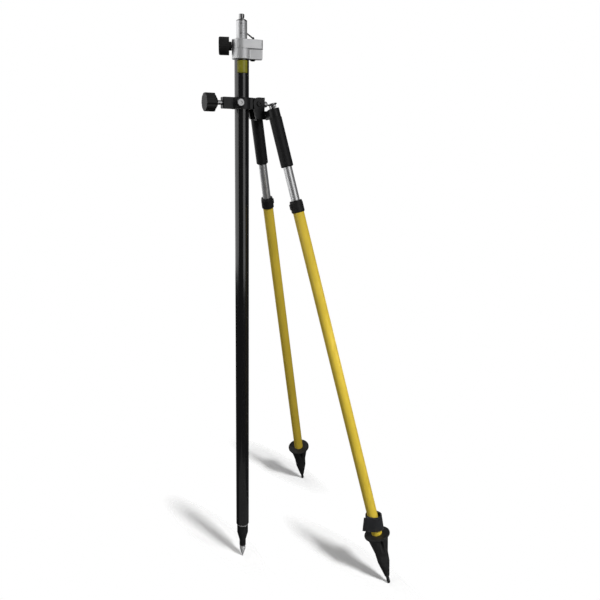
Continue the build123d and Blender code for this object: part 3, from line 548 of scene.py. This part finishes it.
def curved_patch(radius, angle, width, low, high, columns, rows=2):
    """Patch on an upright cylinder about Z, its middle at an angle, its width along the arc."""
    points = []
    for row in range(rows):
        z = low + (high - low) * row / (rows - 1)
        for column in range(columns):
            a = angle + width / radius * (column / (columns - 1) - 0.5)
            points.append((radius * math.cos(a), radius * math.sin(a), z))
    return points, grid_faces(rows, columns)


# Strap


def half_turn(radius, play, start):
    """Half of an oval as points and outward directions, from one straight side round to the other."""
    count = round(math.pi * radius / STRAP_STEP)
    straight = max(1, round(play / 2 / STRAP_STEP))
    bend = [start - math.pi * i / count for i in range(count)]
    turn = [start] * straight + bend + [start - math.pi] * straight
    rise = [i / straight for i in range(straight)]
    shift = rise + [1.0] * count + [1 - share for share in rise]
    way = -1 if start == 0 else 1
    line = []
    for angle, share in zip(turn, shift):
        out = Vector((math.cos(angle), math.sin(angle), 0))
        line.append((out * radius + Vector((0, way * share * play / 2, 0)), out))
    return line


def strap_line(play):
    """Points along the middle of the wound band, from its inner end to the end of the flap, with normals."""
    line = []
    for half in range(STRAP_HALF_TURNS):
        radius = LOWER_R + STRAP_GAP + STRAP_THICK / 2 + STRAP_PITCH / 2 * half
        centre = Vector((STRAP_PITCH / 2 * (half % 2), 0, 0))
        start = 0.0 if half % 2 == 0 else math.pi
        line += [(centre + at, out) for at, out in half_turn(radius, play, start)]
    end = centre + Vector((radius, 0, 0))
    count = round(STRAP_FLAP / STRAP_STEP)
    for step in range(count + 1):
        share = step / count
        slope = 3 * STRAP_CURL * share ** 2 / STRAP_FLAP
        at = end - Vector((STRAP_CURL * share ** 3, STRAP_FLAP * share, 0))
        line.append((at, Vector((1, -slope, 0)).normalized()))
    return line


def strap_points(line):
    """Rows of points across the band, with wavy edges, a wider lower edge and a slanted end."""
    flap = round(STRAP_FLAP / STRAP_STEP)
    points = []
    for i, (at, out) in enumerate(line):
        wave = STRAP_WAVE * math.sin(i * STRAP_WAVE_STEP)
        skew = STRAP_SKEW * max(0.0, 1 - (len(line) - 1 - i) / flap)
        for row in range(STRAP_ROWS):
            share = row / (STRAP_ROWS - 1)
            z = (STRAP_WIDTH - 2 * STRAP_WAVE) * (share - 0.5) + wave * (2 * share - 1)
            points.append(at + out * STRAP_FLARE * (1 - share) + Vector((0, skew * (2 * share - 1), z)))
    return points


def leg_strap():
    """Hook-and-loop strap wound loosely round the front leg."""
    up = leg_axes("front").col[2]
    lean, heading = math.acos(up.z), math.atan2(up.y, up.x)
    slant = (1 - STRAP_LEAN) * lean
    play = 2 * LOWER_R / math.cos(slant) + STRAP_WIDTH * math.tan(slant) - 2 * LOWER_R
    line = strap_line(play)
    points = strap_points(line)
    at = leg_place("front", "lower_tube", STRAP_RISE - LOWER_MIDDLE).translation
    place = Matrix.Translation(at) @ Matrix.Rotation(heading, 4, "Z")
    place = place @ Matrix.Rotation(STRAP_LEAN * lean, 4, "Y") @ Matrix.Rotation(math.pi / 2, 4, "Z")
    faces = grid_faces(len(line), STRAP_ROWS)
    strap = mesh_object("leg_strap_band", points, faces, MATERIALS["strap_pile"], place)
    solidify(strap, STRAP_THICK, 0.0)
    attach(strap, "front_lower")
    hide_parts("leg_strap")


# Other pieces


def button_spring(leg):
    """Open coil under the thumb button."""
    place = leg_place(leg, "upper_tube", UPPER_MIDDLE)
    count = round(SPRING_TURNS * SPRING_STEPS)
    points = []
    for i in range(count + 1):
        a = 2 * math.pi * i / SPRING_STEPS
        z = SPRING_LOW + (SPRING_HIGH - SPRING_LOW) * i / count
        for side in range(SPRING_SIDES):
            b = 2 * math.pi * side / SPRING_SIDES
            r = SPRING_R + SPRING_WIRE_R * math.cos(b)
            points.append(Vector((r * math.cos(a), r * math.sin(a), z + SPRING_WIRE_R * math.sin(b))))
    faces = grid_faces(count + 1, SPRING_SIDES, wrap=True)
    faces.append(tuple(range(SPRING_SIDES)))
    faces.append(tuple(reversed(range(count * SPRING_SIDES, (count + 1) * SPRING_SIDES))))
    spring = mesh_object(f"{leg}_coil", points, faces, MATERIALS["bright_steel"], place)
    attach(spring, f"{leg}_leg")
    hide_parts(f"{leg}_button_spring")
    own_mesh(spring)


def pole_label():
    """Plain film stuck on the pole under the lock head."""
    angle = CAMERA_ANGLE + math.radians(LABEL_TURN)
    points, faces = curved_patch(POLE_R + LABEL_LIFT, angle, LABEL_WIDTH, LABEL_LOW, LABEL_HIGH,
                                 LABEL_COLUMNS, LABEL_ROWS)
    label = mesh_object("pole_label", points, faces, MATERIALS["label_film"])
    solidify(label, LABEL_FILM)
    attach(label, "pole")


def inner_patch(across, z, width, height, columns):
    """Printed patch on the inner tube, its middle given across from the scale's line and by its height."""
    angle = CAMERA_ANGLE + math.radians(TICK_TURN) + across / INNER_R
    return curved_patch(INNER_R + TICK_FILM, angle, width, z - height / 2, z + height / 2, columns)


def figure_strokes(figure, across, z):
    """Straight strokes of one figure about its middle."""
    side, quarter = (DIGIT_WIDTH - DIGIT_STROKE) / 2, DIGIT_HEIGHT / 4
    level = (DIGIT_HEIGHT - DIGIT_STROKE) / 2
    flat, tall = (DIGIT_WIDTH, DIGIT_STROKE), (DIGIT_STROKE, DIGIT_HEIGHT / 2)
    strokes = ((0, level, flat), (-side, quarter, tall), (side, quarter, tall), (0, 0, flat),
               (-side, -quarter, tall), (side, -quarter, tall), (0, -level, flat))
    return [inner_patch(across + x, z + rise, *size, STROKE_COLUMNS)
            for (x, rise, size), drawn in zip(strokes, FIGURES[figure]) if drawn == "1"]


def inner_ticks():
    """Printed graduation down the whole inner tube, with centimetres beside every second long tick."""
    parts = []
    for i in range(int((TICK_TOP - INNER_FOOT) / TICK_STEP)):
        z = TICK_TOP - i * TICK_STEP
        width = TICK_LONG if i % 2 == 0 else TICK_SHORT
        parts.append(inner_patch(width / 2, z, width, TICK_HEIGHT, TICK_COLUMNS))
        if i % NUMBER_EVERY == 0:
            number = str(NUMBER_FIRST + round(i * TICK_STEP / CENTIMETRE))
            for place, figure in enumerate(reversed(number)):
                across = -NUMBER_GAP - DIGIT_WIDTH / 2 - place * DIGIT_PITCH
                parts += figure_strokes(figure, across, z)
    ticks = join_meshes("inner_ticks", parts, MATERIALS["tick_ink"])
    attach(ticks, "inner_pole")


def vial_bubble():
    """Flat air bubble under the vial's top face, and the ring printed over it."""
    low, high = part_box("vial_glass")
    centre = Vector(((low.x + high.x) / 2, (low.y + high.y) / 2, high.z))
    turns = [2 * math.pi * i / BUBBLE_SIDES for i in range(BUBBLE_SIDES)]
    circle = [(math.cos(a), math.sin(a)) for a in turns]
    points = []
    for row in range(BUBBLE_ROWS):
        b = math.pi * ((row + 0.5) / BUBBLE_ROWS - 0.5)
        reach, rise = BUBBLE_R * math.cos(b), BUBBLE_HEIGHT / 2 * math.sin(b)
        points += [Vector((reach * x, reach * y, rise)) for x, y in circle]
    faces = grid_faces(BUBBLE_ROWS, BUBBLE_SIDES, wrap=True)
    faces.append(tuple(reversed(range(BUBBLE_SIDES))))
    faces.append(tuple(range((BUBBLE_ROWS - 1) * BUBBLE_SIDES, BUBBLE_ROWS * BUBBLE_SIDES)))
    sunk = Matrix.Translation(centre - Vector((0, 0, BUBBLE_SINK + BUBBLE_HEIGHT / 2)))
    bubble = mesh_object("vial_bubble", points, faces, MATERIALS["bubble_air"], sunk)
    rims = [Vector((r * x, r * y, RING_FILM)) for r in (RING_R, RING_R + RING_STROKE) for x, y in circle]
    ring = mesh_object("vial_ring", rims, grid_faces(2, BUBBLE_SIDES, wrap=True), MATERIALS["tick_ink"],
                       Matrix.Translation(centre))
    for piece in (bubble, ring):
        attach(piece, "pole")


# Stage


def floor():
    bpy.ops.mesh.primitive_circle_add(vertices=FLOOR_SIDES, radius=FLOOR_RADIUS, fill_type="NGON")
    ground = bpy.context.object
    ground.name = "floor"
    ground.visible_glossy = False
    tips = [Vector((middle(node).x, middle(node).y, 0)) for node in FLOOR_TIPS]
    ground.data.materials.append(floor_white(tips))


def aim(obj, target):
    obj.rotation_euler = (target - obj.location).to_track_quat("-Z", "Y").to_euler()


def area_light(name, at, target, width, height, power):
    light = bpy.data.lights.new(name, "AREA")
    light.shape = "RECTANGLE"
    light.size, light.size_y = width, height
    light.energy = power
    obj = bpy.data.objects.new(name, light)
    obj.location = at
    bpy.context.scene.collection.objects.link(obj)
    aim(obj, target)
    obj.visible_camera = False
    return obj


def beside_camera(turn):
    """Level direction from the pole, some degrees right of the camera."""
    return Matrix.Rotation(math.radians(turn), 3, "Z") @ POLE_TO_CAMERA


def panel_power(radiance, width, height):
    return math.pi * radiance * width * height


def sun():
    rise = math.radians(SUN_RISE)
    at = (beside_camera(SUN_TURN) * math.cos(rise) + Vector((0, 0, math.sin(rise)))) * SUN_DISTANCE
    light = area_light("sun_box", at, SUN_TARGET, SUN_SIZE, SUN_SIZE, SUN_POWER)
    light.visible_glossy = False


def panels():
    """Upright panels that the pole and the bright pieces mirror."""
    for name, (turn, distance, low, high, width, radiance) in PANELS.items():
        target = Vector((0, 0, (low + high) / 2))
        power = panel_power(radiance, width, high - low)
        area_light(f"{name}_panel", beside_camera(turn) * distance + target, target, width, high - low, power)


def soft_lights():
    for name, (at, target, width, height, spread, power) in SOFT_LIGHTS.items():
        light = area_light(name, at, target, width, height, power)
        light.data.spread = math.radians(spread)
        light.visible_glossy = False


def overhead():
    below = OVERHEAD_AT - Vector((0, 0, OVERHEAD_AT.z))
    area_light("overhead", OVERHEAD_AT, below, OVERHEAD_SIZE, OVERHEAD_SIZE, OVERHEAD_POWER)


def floor_bounce():
    """Dim light that the floor in front of the pole throws back."""
    near, far = BOUNCE_REACH
    at = POLE_TO_CAMERA * (near + far) / 2 + Vector((0, 0, BOUNCE_HEIGHT))
    power = panel_power(BOUNCE_RADIANCE, BOUNCE_WIDTH, far - near)
    area_light("floor_bounce", at, at + Vector((0, 0, 1)), BOUNCE_WIDTH, far - near, power)


def world():
    """White behind the object, and a dim even fill for everything else."""
    made = bpy.data.worlds.new("studio")
    bpy.context.scene.world = made
    made.use_nodes = True
    tree = made.node_tree
    backdrop = add(tree, "ShaderNodeBackground", {"Color": WHITE, "Strength": 1.0})
    fill = tree.nodes["Background"]
    fill.inputs["Color"].default_value = WHITE
    fill.inputs["Strength"].default_value = FILL_RADIANCE
    mix = add(tree, "ShaderNodeMixShader")
    tree.links.new(add(tree, "ShaderNodeLightPath").outputs["Is Camera Ray"], mix.inputs["Fac"])
    tree.links.new(fill.outputs["Background"], mix.inputs[1])
    tree.links.new(backdrop.outputs["Background"], mix.inputs[2])
    tree.links.new(mix.outputs["Shader"], tree.nodes["World Output"].inputs["Surface"])


def camera():
    heading, pitch = math.radians(CAMERA_HEADING), math.radians(CAMERA_PITCH)
    level = math.cos(pitch)
    forward = Vector((math.sin(heading) * level, math.cos(heading) * level, math.sin(pitch)))
    right = forward.cross(Vector((0, 0, 1))).normalized()
    up = right.cross(forward)
    roll = Matrix.Rotation(math.radians(CAMERA_ROLL), 3, -forward)
    right, up = roll @ right, roll @ up
    data = bpy.data.cameras.new("camera")
    data.sensor_width = SENSOR
    data.lens = SENSOR * FOCAL_PIXELS / PICTURE
    data.shift_x = (PICTURE / 2 - PRINCIPAL[0]) / PICTURE
    data.shift_y = (PRINCIPAL[1] - PICTURE / 2) / PICTURE
    obj = bpy.data.objects.new("camera", data)
    axes = Matrix((right, up, -forward)).transposed()
    obj.matrix_world = Matrix.Translation(CAMERA_AT) @ axes.to_4x4()
    bpy.context.scene.collection.objects.link(obj)
    bpy.context.scene.camera = obj


# Dressing

SHARED_LOOKS = (
    pole_lacquer, machined_aluminium, bright_steel, dull_steel, satin_black, moulded_black, foam_rubber,
    tip_rubber, natural_nylon, vial_liquid, strap_pile, label_film, tick_ink, bubble_air)
MATERIALS = {make.__name__: make() for make in SHARED_LOOKS}


def own_looks():
    """Materials of the nodes that differ from the rest of their slot."""
    looks = {
        "inner_tube": drawn_aluminium("drawn_inner_tube", *INNER_ROUGHNESS),
        "steel_point": MATERIALS["dull_steel"],
        "tip_insert": MATERIALS["dull_steel"],
    }
    foot_black = moulded_black("foot_black", *FOOT_BLACK)
    for leg in LEGS:
        own_axes = leg_axes(leg).transposed()
        looks[f"{leg}_leg_foot"] = foot_black
        looks[f"{leg}_upper_tube"] = drawn_aluminium(f"drawn_{leg}_tube", *LEG_ROUGHNESS, own_axes)
        looks[f"{leg}_lower_tube"] = yellow_enamel(f"yellow_{leg}_tube", own_axes)
    return looks


def dress_solids():
    looks = own_looks()
    for part in RECORD["subparts"]:
        node = part["node"]
        look = looks[node] if node in looks else MATERIALS[SLOT_LOOKS[part["material_slot"]]]
        for slot in frame["nodes"][node].material_slots:
            slot.material = look


dress_solids()
leg_strap()
for leg in LEGS:
    button_spring(leg)
pole_label()
inner_ticks()
vial_bubble()
floor()
sun()
panels()
soft_lights()
overhead()
floor_bounce()
world()
camera()
bpy.context.scene.view_settings.view_transform = "Standard"
